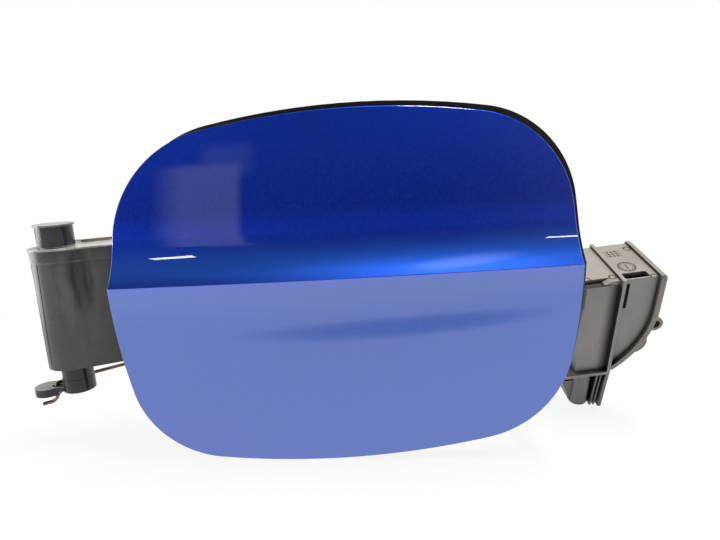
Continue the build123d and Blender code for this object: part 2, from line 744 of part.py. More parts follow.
def deep(face, front, back):
    """A face of the lock's front view, carried from one depth to another."""
    return extrude(Plane((0, front, 0), x_dir=(1, 0, 0), z_dir=(0, -1, 0)) * face, front - back)


def lock_shell():
    """Hollow box of the lock, open on its swept side."""
    shape = deep(side_face(COVER_SEAT, LOCK_LEFT, BOX_TOP), BOX_FRONT, BOX_BACK)
    shape += block((LOCK_LEFT, 0), (BOX_FRONT, BOX_BACK), (LOCK_BOTTOM, BOX_TOP))
    band = side_face(COVER_SEAT, 0, BOX_TOP) - side_face(COVER_SEAT + STEP_WIDTH, -FLANGE_WALL, BOX_TOP)
    shape -= deep(band, BOX_FRONT, BOX_FRONT + STEP_DEPTH)
    inside = block(
        (LOCK_LEFT + LOCK_WALL, LOCK_RIGHT),
        (BOX_FRONT + FRONT_WALL, BOX_BACK - LOCK_WALL),
        (LOCK_BOTTOM + LOCK_WALL, BOX_TOP - LOCK_WALL),
    )
    return shape, inside


def top_notch(grow):
    """Step along the front of the left part's top, or the thicker wall round it."""
    low = BOX_TOP - NOTCH_HEIGHT - grow
    face = Polyline(
        (LOCK_LEFT, BOX_TOP),
        (NOTCH_END + grow, BOX_TOP),
        (NOTCH_END - NOTCH_TAPER + grow, low),
        (LOCK_LEFT, low),
        close=True,
    )
    return deep(make_face(face), BOX_FRONT, BOX_FRONT + NOTCH_DEPTH + grow)


def fin(right, wall, front, back, top):
    """Upright plate under the ledge that leans to the left towards its lower end."""
    low = SHROUD_END - FIN_WALL
    face = Polyline(
        (right, top),
        (right - FIN_LEAN, low),
        (right - FIN_LEAN - wall, low),
        (right - wall, top),
        close=True,
    )
    return deep(make_face(face), front, back)


def lock_flanges():
    """Middle flange, carried on below the ledge, and the ledge."""
    flange = block((-FLANGE_WALL, 0), (0, LOCK_DEPTH), (LOCK_BOTTOM - LEDGE_WALL, 0))
    flange += fin(0, FLANGE_WALL, 0, SHROUD_BACK, LOCK_BOTTOM)
    return flange + block((LEDGE_LEFT, 0), (0, BOX_BACK), (LOCK_BOTTOM - LEDGE_WALL, LOCK_BOTTOM))


def connector():
    """Rounded plug shroud with its fins and its gusset plate."""
    top = LOCK_BOTTOM - LEDGE_WALL / 2
    width = SHROUD_RIGHT - SHROUD_LEFT
    depth = SHROUD_BACK - SHROUD_FRONT
    middle = ((SHROUD_LEFT + SHROUD_RIGHT) / 2, (SHROUD_FRONT + SHROUD_BACK) / 2)
    body = rise(Pos(*middle) * SlotOverall(depth, width, rotation=90), SHROUD_END, top)
    for index in range(FIN_COUNT):
        right = -FLANGE_WALL - FIN_PITCH * index - FIN_PITCH / 2
        body += fin(right, FIN_WALL, SHROUD_FRONT, FIN_BACK, top)
    back = (FIN_BACK - GUSSET_WALL, FIN_BACK)
    body += block((SHROUD_RIGHT - width / 2, -FLANGE_WALL), back, (SHROUD_END, top))
    gusset = Polyline(
        (LEDGE_LEFT, top),
        (GUSSET_RIGHT, top),
        (GUSSET_FOOT[1], GUSSET_LOW),
        (GUSSET_FOOT[0], GUSSET_LOW),
        (LEDGE_LEFT, LOCK_BOTTOM - GUSSET_DROP),
        close=True,
    )
    plate = deep(make_face(gusset), GUSSET_FRONT, GUSSET_FRONT + GUSSET_WALL)
    slot_u = LEDGE_LEFT + GUSSET_SLOT_PLACE[0]
    slot_w = LOCK_BOTTOM - LEDGE_WALL - GUSSET_SLOT_PLACE[1]
    plate -= block((slot_u, slot_u + GUSSET_SLOT[0]), (-FAR, FAR), (slot_w - GUSSET_SLOT[1], slot_w))
    return body + plate


def socket():
    """Space inside the plug shroud."""
    width = SHROUD_RIGHT - SHROUD_LEFT - 2 * SHROUD_WALL
    depth = SHROUD_BACK - SHROUD_FRONT - 2 * SHROUD_WALL
    middle = ((SHROUD_LEFT + SHROUD_RIGHT) / 2, (SHROUD_FRONT + SHROUD_BACK) / 2)
    room = Pos(*middle) * SlotOverall(depth, width, rotation=90)
    return rise(room, SHROUD_END, LOCK_BOTTOM - LEDGE_WALL)


def terminal_places():
    """U and V of the two terminals."""
    u = (SHROUD_LEFT + SHROUD_RIGHT) / 2
    v = (SHROUD_FRONT + SHROUD_BACK) / 2
    return [(u, v - TERMINAL_PITCH / 2), (u, v + TERMINAL_PITCH / 2)]


def terminal(place, play, low, high):
    """One blade, or the slot that holds it."""
    half = [size / 2 + play for size in TERMINAL_SIZE]
    sides = (place[0] - half[0], place[0] + half[0])
    return block(sides, (place[1] - half[1], place[1] + half[1]), (low, high))


def connector_terminals():
    """Flat contact blades."""
    return [LOCK * terminal(place, 0, TERMINAL_END, TERMINAL_TOP) for place in terminal_places()]


def gear_supports():
    """Axle bosses and motor cradles inside the box."""
    front = BOX_FRONT + FRONT_WALL / 2
    back = BOX_BACK - LOCK_WALL / 2
    bosses = along_y(AXLE_BOSS, DRIVE_U, DRIVE_W, front, DRIVE_FRONT - END_PLAY)
    bosses += along_y(AXLE_BOSS, DRIVE_U, DRIVE_W, RACK_FRONT + RACK_FACE + END_PLAY, back)
    for v in CRADLE_PLACES:
        cradle = block(
            (LOCK_LEFT + LOCK_WALL / 2, MOTOR_U + MOTOR_RADIUS / 2),
            (v, v + CRADLE_WALL),
            (LOCK_BOTTOM + LOCK_WALL / 2, MOTOR_W - MOTOR_RADIUS / 4),
        )
        bosses += cradle - along_y(MOTOR_RADIUS + FIT_PLAY, MOTOR_U, MOTOR_W, v, v + CRADLE_WALL)
    return bosses


def axle_hole():
    """Through hole for the gear axle, blind in the front and back walls."""
    ends = (BOX_FRONT + FRONT_WALL / 2, BOX_BACK - LOCK_WALL / 2)
    return along_y(AXLE_RADIUS + AXLE_SEAT_PLAY, DRIVE_U, DRIVE_W, *ends)


def lock_housing():
    """Grey moulded box with flange, ledge, window, slit and plug shroud."""
    shape, inside = lock_shell()
    housing = shape + lock_flanges() + connector() - inside - socket()
    housing += (top_notch(LOCK_WALL) & shape) + gear_supports()
    housing -= top_notch(0)
    housing -= axle_hole()
    housing -= along_u(BOLT_RADIUS + BOLT_PLAY, LOCK_LEFT, LOCK_LEFT + LOCK_WALL)
    window = RectangleRounded(WINDOW_RIGHT - WINDOW_LEFT, WINDOW_BACK - WINDOW_FRONT, WINDOW_ROUND)
    window = Pos((WINDOW_LEFT + WINDOW_RIGHT) / 2, (WINDOW_FRONT + WINDOW_BACK) / 2) * window
    housing -= rise(window, BOX_TOP - LOCK_WALL, BOX_TOP)
    through = (BOX_FRONT, BOX_FRONT + FRONT_WALL)
    housing -= block((SLIT_LEFT, SLIT_LEFT + SLIT_WIDTH), through, (SLIT_BOTTOM, SLIT_TOP))
    for place in terminal_places():
        housing -= terminal(place, TERMINAL_PLAY, LOCK_BOTTOM - LEDGE_WALL, LOCK_BOTTOM + LOCK_WALL)
    return LOCK * housing


def cover_rim(edge):
    """True for an outer edge round the front or the back of the cover."""
    point = edge @ 0.5
    on_end = min(abs(point.Y - COVER_FRONT), abs(point.Y - LOCK_DEPTH + COVER_FRONT)) < FIT_PLAY
    beyond = Vector(point.X - CURVE_CENTRE[0], min(point.Z - CURVE_START, 0)).length
    return on_end and beyond > CURVE_RADIUS - COVER_WALL / 3


def lock_cover():
    """Swept lid with rounded rims, a screw lug and a stepped dome."""
    outer = side_face(0, LOCK_LEFT, 0)
    corner = max(outer.vertices(), key=lambda v: v.X + v.Y)
    outer = fillet(corner, COVER_CORNER)
    inner = side_face(COVER_WALL, LOCK_LEFT, 0)
    keep = Pos(COVER_PLAY + FAR / 2, 0) * Rectangle(FAR, FAR)
    lid = deep((outer - inner) & keep, COVER_FRONT, LOCK_DEPTH - COVER_FRONT)
    lid = fillet(lid.edges().filter_by(cover_rim), COVER_ROUND)
    lug = Pos(LUG_U, LUG_W) * Circle(LUG_RADIUS)
    root = Vector(LUG_U, LUG_W) - Vector(*CURVE_CENTRE)
    reach = root.length - CURVE_RADIUS + COVER_WALL / 2
    turn = degrees(asin(root.Y / root.length))
    web = Pos(LUG_U, LUG_W) * Rot(0, 0, turn) * Pos(-reach / 2, 0) * Rectangle(reach, LUG_WEB)
    lid += deep(lug + web, LUG_FRONT, LUG_FRONT + LUG_WALL)
    lid -= along_y(LUG_HOLE_RADIUS, LUG_U, LUG_W, LUG_FRONT, LUG_FRONT + LUG_WALL)
    out = Vector(cos(radians(DOME_TURN)), 0, -sin(radians(DOME_TURN)))
    spot = Vector(CURVE_CENTRE[0], DOME_V, CURVE_CENTRE[1]) + out * (CURVE_RADIUS - COVER_WALL / 2)
    for radius, height in zip(DOME_RADII, DOME_HEIGHTS):
        tall = height + COVER_WALL / 2
        lid += Plane(spot, z_dir=out) * Pos(0, 0, tall / 2) * Cylinder(radius, tall)
    return LOCK * lid


def latch_guide():
    """Sleeve for the bolt and the fork that takes the catch plate."""
    sides = (BOLT_W - FORK_HEIGHT, BOLT_W + FORK_HEIGHT)
    web_front = BOLT_V + CATCH_HALF + CATCH_PLAY
    deep_end = web_front + FORK_WEB
    guide = along_u(SLEEVE_RADIUS, CHEEK_RIGHT, LOCK_LEFT)
    guide += block((FORK_RIGHT, CHEEK_RIGHT), (FORK_FRONT, deep_end), sides)
    guide += block((FORK_LEFT - CHEEK_WALL, FORK_LEFT), (FORK_FRONT, deep_end), sides)
    guide += block((FORK_LEFT - CHEEK_WALL, CHEEK_RIGHT), (web_front, deep_end), sides)
    guide -= along_u(BOLT_RADIUS + BOLT_PLAY, FORK_LEFT - CHEEK_WALL, LOCK_LEFT)
    guide -= along_u(SEAL_RADIUS, LOCK_LEFT - SEAL_WALL, LOCK_LEFT)
    return LOCK * guide


def bolt_seal():
    """Rubber ring in the sleeve's mouth."""
    ring = along_u(SEAL_RADIUS - FIT_PLAY, LOCK_LEFT - SEAL_WALL + FIT_PLAY, LOCK_LEFT - FIT_PLAY)
    return LOCK * (ring - along_u(BOLT_RADIUS + BOLT_PLAY / 2, LOCK_LEFT - SEAL_WALL, LOCK_LEFT))


# Gear train and motor, in the lock's own frame

def involute(angle):
    """Involute function of a pressure angle in radians."""
    return tan(angle) - angle


def gear_face(teeth, module, first_tooth):
    """Spur gear outline in the lock's front view, one tooth pointing at a given angle."""
    pitch = module * teeth / 2
    base = pitch * cos(radians(PRESSURE_ANGLE))
    tip = pitch + ADDENDUM * module
    root = pitch - DEDENDUM * module
    half_tooth = pi / (2 * teeth) - BACKLASH / (2 * pitch) + involute(radians(PRESSURE_ANGLE))
    flank = []
    for radius in (base, (base + tip) / 2, tip):
        flank.append((radius, half_tooth - involute(acos(base / radius))))
    flank.insert(0, (root, flank[0][1]))

    def spot(radius, angle):
        return (radius * cos(angle), radius * sin(angle))

    edges = []
    for index in range(teeth):
        middle = radians(first_tooth) + 2 * pi * index / teeth
        rising = [spot(radius, middle - angle) for radius, angle in flank]
        falling = [spot(radius, middle + angle) for radius, angle in reversed(flank)]
        following = spot(root, middle + 2 * pi / teeth - flank[0][1])
        edges += [
            Line(rising[0], rising[1]),
            ThreePointArc(rising[1], rising[2], rising[3]),
            Line(rising[3], falling[0]),
            ThreePointArc(falling[0], falling[1], falling[2]),
            Line(falling[2], falling[3]),
            Line(falling[3], following),
        ]
    return make_face(edges)


MESH_ANGLE = degrees(acos((MOTOR_U - DRIVE_U) / GEAR_DISTANCE))
MOTOR_BACK = MOTOR_FRONT + MOTOR_LENGTH
MOTOR_SPOT = Pos(MOTOR_U, MOTOR_W)


def drive_gear():
    """Gear, hub and rack pinion in one moulding."""
    spot = Pos(DRIVE_U, DRIVE_W)
    wheel = spot * gear_face(DRIVE_TEETH, MOTOR_MODULE, -MESH_ANGLE)
    pinion = spot * gear_face(RACK_TEETH, RACK_MODULE, 90)
    ends = (DRIVE_FRONT, RACK_FRONT + RACK_FACE)
    gear = deep(wheel, DRIVE_FRONT, DRIVE_FRONT + DRIVE_FACE) + deep(pinion, RACK_FRONT, ends[1])
    gear += along_y(RACK_PITCH_RADIUS - DEDENDUM * RACK_MODULE, DRIVE_U, DRIVE_W, *ends)
    return LOCK * (gear - along_y(AXLE_RADIUS + AXLE_PLAY, DRIVE_U, DRIVE_W, *ends))


def gear_axle():
    """Steel axle, pressed into the front and back walls."""
    ends = (BOX_FRONT + FRONT_WALL / 2 + FIT_PLAY, BOX_BACK - LOCK_WALL / 2 - FIT_PLAY)
    return LOCK * along_y(AXLE_RADIUS, DRIVE_U, DRIVE_W, *ends)


def motor_pinion():
    """Pinion on the motor shaft."""
    tooth = 180 - MESH_ANGLE + 180 / MOTOR_TEETH
    ends = (DRIVE_FRONT, DRIVE_FRONT + DRIVE_FACE)
    gear = deep(MOTOR_SPOT * gear_face(MOTOR_TEETH, MOTOR_MODULE, tooth), *ends)
    return LOCK * (gear - along_y(SHAFT_RADIUS, MOTOR_U, MOTOR_W, *ends))


def lock_bolt():
    """Round bolt with a toothed bar behind it."""
    bolt = along_u(BOLT_RADIUS, BOLT_TIP, BOLT_SHOULDER)
    bolt = fillet(bolt.edges().sort_by(Axis.X)[0], BOLT_TIP_ROUND)
    pitch = pi * RACK_MODULE
    half = (pitch / 2 - BACKLASH) / 2
    spread = tan(radians(PRESSURE_ANGLE))
    tip = RACK_LINE - ADDENDUM * RACK_MODULE
    half_root = half + (RACK_ROOT - RACK_LINE) * spread
    half_tip = half - (RACK_LINE - tip) * spread
    points = [(BOLT_SHOULDER, RACK_ROOT)]
    first = int((BOLT_SHOULDER + half_root - DRIVE_U) / pitch - 0.5) - 1
    for index in range(first, int((BOLT_END - DRIVE_U) / pitch) + 1):
        middle = DRIVE_U + (index + 0.5) * pitch
        if BOLT_SHOULDER + half_root < middle < BOLT_END - half_root:
            points += [(middle - half_root, RACK_ROOT), (middle - half_tip, tip)]
            points += [(middle + half_tip, tip), (middle + half_root, RACK_ROOT)]
    top = BOLT_W + BOLT_BAR_TOP
    points += [(BOLT_END, RACK_ROOT), (BOLT_END, top), (BOLT_SHOULDER, top)]
    bar = deep(make_face(Polyline(*points, close=True)), RACK_FRONT, RACK_FRONT + RACK_FACE)
    return LOCK * (bolt + bar)


def can_section(radius, flats):
    """Round motor section with two flats."""
    return Circle(radius) & Rectangle(2 * radius, 2 * flats)


def motor_can():
    """Drawn steel can with a bearing hole."""
    can = deep(MOTOR_SPOT * can_section(MOTOR_RADIUS, MOTOR_FLATS), MOTOR_FRONT, MOTOR_BACK)
    room = can_section(MOTOR_RADIUS - MOTOR_WALL, MOTOR_FLATS - MOTOR_WALL)
    can -= deep(MOTOR_SPOT * room, MOTOR_FRONT + MOTOR_WALL, MOTOR_BACK)
    ends = (MOTOR_FRONT - MOTOR_WALL, MOTOR_FRONT + MOTOR_WALL)
    can += along_y(BEARING_RADIUS, MOTOR_U, MOTOR_W, *ends)
    return LOCK * (can - along_y(SHAFT_RADIUS + SHAFT_PLAY, MOTOR_U, MOTOR_W, *ends))


def motor_end_cap():
    """Plastic cap that closes the can and carries the rear bearing."""
    section = MOTOR_SPOT * can_section(MOTOR_RADIUS, MOTOR_FLATS)
    cap = deep(section, MOTOR_BACK, MOTOR_BACK + MOTOR_CAP_WALL)
    front = MOTOR_BACK - MOTOR_CAP_WALL
    cap += along_y(BEARING_RADIUS, MOTOR_U, MOTOR_W, front, MOTOR_BACK)
    end = MOTOR_BACK + SHAFT_TAIL + END_PLAY
    return LOCK * (cap - along_y(SHAFT_RADIUS + SHAFT_PLAY, MOTOR_U, MOTOR_W, front, end))


def motor_magnets():
    """Pair of curved magnets inside the can."""
    outer = MOTOR_RADIUS - MOTOR_WALL - FIT_PLAY
    ring = Circle(outer) - Circle(outer - MAGNET_WALL)
    band = 2 * outer * sin(radians(MAGNET_ARC / 2))
    pair = ring & Rectangle(2 * MOTOR_RADIUS, min(band, 2 * (MOTOR_FLATS - MOTOR_WALL)))
    front = MOTOR_FRONT + MOTOR_WALL + FIT_PLAY
    magnets = deep(MOTOR_SPOT * pair, front, front + ARMATURE_LENGTH + MOTOR_CAP_WALL)
    return [LOCK * solid for solid in magnets.solids()]


def motor_rotor():
    """Shaft with a slotted armature and a commutator."""
    ends = (DRIVE_FRONT - END_PLAY, MOTOR_BACK + SHAFT_TAIL)
    shaft = along_y(SHAFT_RADIUS, MOTOR_U, MOTOR_W, *ends)
    poles = Circle(ARMATURE_RADIUS)
    for index in range(ARMATURE_POLES):
        slot = Pos(ARMATURE_RADIUS, 0) * Rectangle(2 * ARMATURE_SLOT_DEPTH, ARMATURE_SLOT_WIDTH)
        poles -= Rot(0, 0, 360 / ARMATURE_POLES * index) * slot
    front = MOTOR_FRONT + 2 * MOTOR_WALL + END_PLAY
    armature = deep(MOTOR_SPOT * poles, front, front + ARMATURE_LENGTH)
    back = front + ARMATURE_LENGTH + MOTOR_CAP_WALL
    commutator = along_y(COMMUTATOR_RADIUS, MOTOR_U, MOTOR_W, front, back)
    return LOCK * (shaft + armature + commutator)


NODES = {
    "door_skin": door_skin,
    "stud_washers": stud_washers,
    "hinge_carrier": hinge_carrier,
    "bump_stops": bump_stops,
    "hinge_pin": hinge_pin,
    "hinge_cap": hinge_cap,
    "spring_wire": spring_wire,
    "catch_plate": catch_plate,
    "catch_screws": catch_screws,
    "lock_housing": lock_housing,
    "lock_cover": lock_cover,
    "latch_guide": latch_guide,
    "bolt_seal": bolt_seal,
    "lock_bolt": lock_bolt,
    "drive_gear": drive_gear,
    "gear_axle": gear_axle,
    "motor_pinion": motor_pinion,
    "motor_rotor": motor_rotor,
    "motor_can": motor_can,
    "motor_magnets": motor_magnets,
    "motor_end_cap": motor_end_cap,
    "connector_terminals": connector_terminals,
}


def main():
    os.makedirs("parts", exist_ok=True)
    for name, make in NODES.items():
        shape = make()
        if isinstance(shape, list):
            shape = Compound(children=shape)
        export_step(shape, f"parts/{name}.step")


main()
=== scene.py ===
import math
from functools import reduce

import bpy
from mathutils import Matrix, Vector

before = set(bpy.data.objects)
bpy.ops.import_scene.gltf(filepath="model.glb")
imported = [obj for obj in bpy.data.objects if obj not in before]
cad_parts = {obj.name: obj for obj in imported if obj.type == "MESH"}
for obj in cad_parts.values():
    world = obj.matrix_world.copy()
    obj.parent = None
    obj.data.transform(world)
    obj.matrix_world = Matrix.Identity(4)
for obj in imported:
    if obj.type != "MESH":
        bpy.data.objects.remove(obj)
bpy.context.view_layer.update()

MM = 0.001

# Where the camera of the photograph stood, how far it looked down and leaned, and its lens
CAMERA_PLACE = Vector((126.84, -225.6, 45.71)) * MM
CAMERA_PITCH = 12.0
CAMERA_ROLL = 3.0
CAMERA_LENS = 27.0
CAMERA_SENSOR = 36.0
CAMERA_NEAR = 10.0 * MM

# The door's crease lies at height 0: levels between which one blue of the paint passes into the next, as
# painted shading by height
LOWER_TO_CREASE = (-4.0 * MM, 0.0)
BAND_LEVELS = (0.5 * MM, 18.0 * MM)
BAND_EDGE = 3.5 * MM
BAND_TO_FACE = (5.0 * MM, 16.0 * MM)
FLARE_TO_UPPER = (5.0 * MM, 22.0 * MM)
FOOT_LEVELS = (9.0 * MM, 28.0 * MM)
FOOT_EDGE = 7.0 * MM
UPPER_TO_TOP = (20.0 * MM, 60.0 * MM)

# Blues of the paint, from the door's lower field to its top, painted as highlight and shade by height (a
# painted highlight in the band above the crease, deepest in the upper field), and what lies in and on them
LOWER_BLUE = (0.013, 0.092, 0.49, 1)
CREASE_BLUE = (0.013, 0.085, 0.62, 1)
BAND_HIGHLIGHT_BLUE = (0.024, 0.165, 1.0, 1)
FLARE_BLUE = (0.008, 0.085, 0.82, 1)
FOOT_BLUE = (0.005, 0.055, 0.78, 1)
UPPER_BLUE = (0.002, 0.031, 0.52, 1)
TOP_BLUE = (0.003, 0.066, 0.88, 1)
FLAKE_BLUE = (0.03, 0.13, 0.8, 1)
PAINT_DUST = (0.55, 0.58, 0.68, 1)
FLAKE_SCALE = 1800.0
FLAKE_RELIEF = 0.06 * MM

# Grain of the mouldings, as a noise scale, and its depth
BLACK_GRAIN = 1400.0
GREY_GRAIN = 1600.0
NATURAL_GRAIN = 1500.0
RUBBER_GRAIN = 900.0
GRAIN_RELIEF = 0.05 * MM

# Specks and dust on the mouldings, painted shade in their corners, and how far that painted shade reaches out
SPECK = (0.42, 0.41, 0.38, 1)
DUST = (0.5, 0.45, 0.38, 1)
CORNER_SHADE = (0.012, 0.011, 0.01, 1)
CORNER_REACH = 4.5 * MM

# The hinge's barrel: where the arm starts, its front and rear, and the levels of its edges
ARM_START = (30.0 * MM, 45.0 * MM)
BARREL_FRONT = (-3.0 * MM, 0.0)
BARREL_REAR = (8.0 * MM, 12.0 * MM)
REAR_LEVEL = (6.0 * MM, 10.0 * MM)
BARREL_TOP = 14.7 * MM
BARREL_FIELD_TOP = 9.2 * MM
CAP_RIM = 23.6 * MM
BELOW_CAP = (CAP_RIM - 4.0 * MM, CAP_RIM - 2.0 * MM)

# Half the width of the painted highlights along the barrel's lip and ledge, and how softly each ends, and how
# softly the cap's rubbed rim ends
LIP_HALF = 0.4 * MM
LIP_EDGE = 0.4 * MM
BARREL_LEDGE_HALF = 0.15 * MM
BARREL_LEDGE_EDGE = 0.3 * MM
RIM_EDGE = 0.1 * MM

# Painted dark and pale reflections as soft upright patches on the barrel's front: X, height, and reach each
# way in millimetres
DARK_REFLECTION_PATCH = (12.8, 1.0, 6.2, 17.0)
PALE_REFLECTION_PATCH = (7.2, -4.0, 3.0, 20.0)
PATCH_WAVER = 4.0 * MM
STREAK_STRETCH = (1.0, 1.0, 0.12)

# Moulding seam down the left of the barrel
SEAM_X = -4.4 * MM
SEAM_SLANT = 0.037
SEAM_HALF = 0.22 * MM
SEAM_EDGE = 0.2 * MM
SEAM_LEVELS = (-34.4 * MM, BARREL_FIELD_TOP)
SEAM_END = 0.3 * MM
SEAM_FRONT = (-2.0 * MM, 0.0)

# Colours on the hinge's black: painted shade on the arm, painted reflections, highlights and sheen on the
# barrel, and its scuffs, dust, seam and rubbed cap rim
ARM_SHADE_BLACK = (0.014, 0.012, 0.01, 1)
BARREL_STREAK_REFLECTION = (0.018, 0.019, 0.019, 1)
BARREL_DARK_REFLECTION = (0.008, 0.009, 0.009, 1)
BARREL_PALE_REFLECTION = (0.14, 0.145, 0.143, 1)
BARREL_DUST_AND_SHEEN = (0.5, 0.48, 0.44, 1)
BARREL_SCUFF = (0.2, 0.2, 0.195, 1)
SEAM_BLACK = (0.002, 0.002, 0.002, 1)
LIP_HIGHLIGHT = (0.5, 0.49, 0.47, 1)
LEDGE_HIGHLIGHT = (0.3, 0.3, 0.29, 1)
RUBBED_RIM = (0.2, 0.2, 0.195, 1)
REAR_HIGHLIGHT = (0.45, 0.43, 0.39, 1)

# The lock's own frame, across, deep and high: place of its flange corner, and its tilt, roll and yaw
LOCK_PLACE = (243.4 * MM, 3.0 * MM, -14.0 * MM)
LOCK_TURN = (
    Matrix.Rotation(math.radians(19.5), 3, "X")
    @ Matrix.Rotation(math.radians(-2.9), 3, "Y")
    @ Matrix.Rotation(math.radians(2.9), 3, "Z")
).to_euler("XYZ")
LOCK_TOP = (-1.6 * MM, -1.4 * MM)
LOCK_FRONT = (5.5 * MM, 6.0 * MM)

# Moulded rings on the lock's top, each with its place across and deep and its radius in millimetres
EJECTOR_MARKS = ((-15.3, 6.1, 1.5), (-3.6, 6.0, 1.5), (13.9, 27.8, 1.6), (13.8, 2.8, 1.6))
DIAL_MARK = (6.2, 12.7, 3.7)
RING_HALF = 0.34 * MM
RING_EDGE = 0.18 * MM

# Ticks and hand of the dial, by their distance from its middle
DIAL_TICKS = 12
TICK_REACH = (2.2 * MM, 3.4 * MM)
HAND_REACH = (-1.0 * MM, 1.9 * MM)
HAND_HALF = 0.3 * MM
HAND_EDGE = 0.15 * MM
REACH_EDGE = 0.2 * MM

# Field of dots on the lock's top: its middle and half its size each way, and the dots' pitch, in millimetres
DOT_FIELD = (5.4, 24.7, 3.5, 3.0)
DOT_PITCH = 1.9
DOT_ROUND = (0.13, 0.19)
DOT_FIELD_EDGE = 0.1 * MM

# Painted shadow of the slit beside the lock's flange, and painted shadow on the floor of the notch left of it
SLIT_SIDES = (0.8 * MM, 3.2 * MM)
SLIT_LEVELS = (-17.0 * MM, -3.4 * MM)
SLIT_EDGE = 0.15 * MM
SLIT_END = 0.2 * MM
NOTCH_SIDE = (-6.0 * MM, -4.0 * MM)
NOTCH_FLOOR = -3.0 * MM
NOTCH_HALF = 0.3 * MM
NOTCH_EDGE = 0.2 * MM

# Painted shade in the corner left of the flange, and the ledge under the box, with the darker connector below
# it
FLANGE_SHADOW_RISE = (-7.5 * MM, -2.5 * MM)
FLANGE_SIDE = (-1.58 * MM, -1.52 * MM)
LOCK_LEDGE_LEVEL = -54.5 * MM
LOCK_LEDGE_DEPTH = 0.6 * MM
FLANGE_SHADOW_LEVELS = (LOCK_LEDGE_LEVEL + 1.7 * MM, NOTCH_FLOOR)
FLANGE_SHADOW_END = 0.6 * MM

# Darks of the lock, with the painted shadows in its slit and notch and the painted shade by its flange
MARK_DIRT = (0.04, 0.037, 0.034, 1)
PAINTED_SHADOW_BLACK = (0.006, 0.006, 0.006, 1)
FLANGE_SHADOW_GREY = (0.02, 0.019, 0.018, 1)
CONNECTOR_TINT = (0.06, 0.068, 0.078, 1)

# Depth of the faint marks on metal
METAL_RELIEF = 0.03 * MM

# The floor leans with the camera and touches the door's lower edge; a faint shadow round the part stays
FLOOR_SPOT = (92.0 * MM, 0.0, -80.2 * MM)
FLOOR_LEAN = 3.0
FLOOR_SIZE = 6.0
FLOOR_WHITE = (0.9, 0.9, 0.89, 1)
SHADOW_REACH = (160.0 * MM, 320.0 * MM)
SHADOW_SHARE = 0.13

# The floor as glossy pieces mirror it: a dim slanting strip, a brighter near edge and a bright left end
STRIP_PLACE = (68.0 * MM, -140.0 * MM)
STRIP_REACH = (130.0 * MM, 20.0 * MM)
STRIP_SLANT = 0.14
STRIP_GREY = 0.5
NEAR_EDGE = (-200.0 * MM, -160.0 * MM)
NEAR_GREY = 1.15
LEFT_END = (-360.0 * MM, -270.0 * MM)
LEFT_END_DEPTH = (-150.0 * MM, 300.0 * MM)
LEFT_END_EDGE = 80.0 * MM
LEFT_END_GREY = 3.4

# Greys of the dim studio in front, from level (0.5) to straight up (1)
STUDIO_GREYS = ((0.5, 0.012), (0.62, 0.016), (0.74, 0.026), (0.94, 0.035), (1.0, 0.4))
STUDIO_FRONT = (0.1, 0.55)
LEAST_DEPTH = 0.05
BACKDROP_GREY = 0.95

# What stands in the studio, by how far aside and how far up it is for each step to the front
RIGHT_SIDE = (0.15, 0.7)
RIGHT_GREY = 0.1
SCREEN_LEFT = (-0.52, -0.42)
SCREEN_RIGHT = (-0.29, -0.265)
SCREEN_RISE = (0.1, 0.37)
SCREEN_EDGE = 0.03
SCREEN_GREY = 0.32
PANEL_SIDES = (-0.4, -0.225)
PANEL_SIDE_EDGE = 0.05
PANEL_RISE = (0.3, 0.43)
PANEL_RISE_EDGE = 0.04
PANEL_GREY = 0.13

# Dark ceiling with one soft light in it, as glossy pieces mirror it
CEILING_START = (0.5, 0.72)
CEILING_GREY = 0.025
GLOW_PLACE = (0.46, 1.75)
GLOW_REACH = (0.26, 0.8)
GLOW_GREY = 0.62

WARM_WHITE = (1.0, 0.94, 0.86)
PLAIN_WHITE = (1.0, 1.0, 1.0)


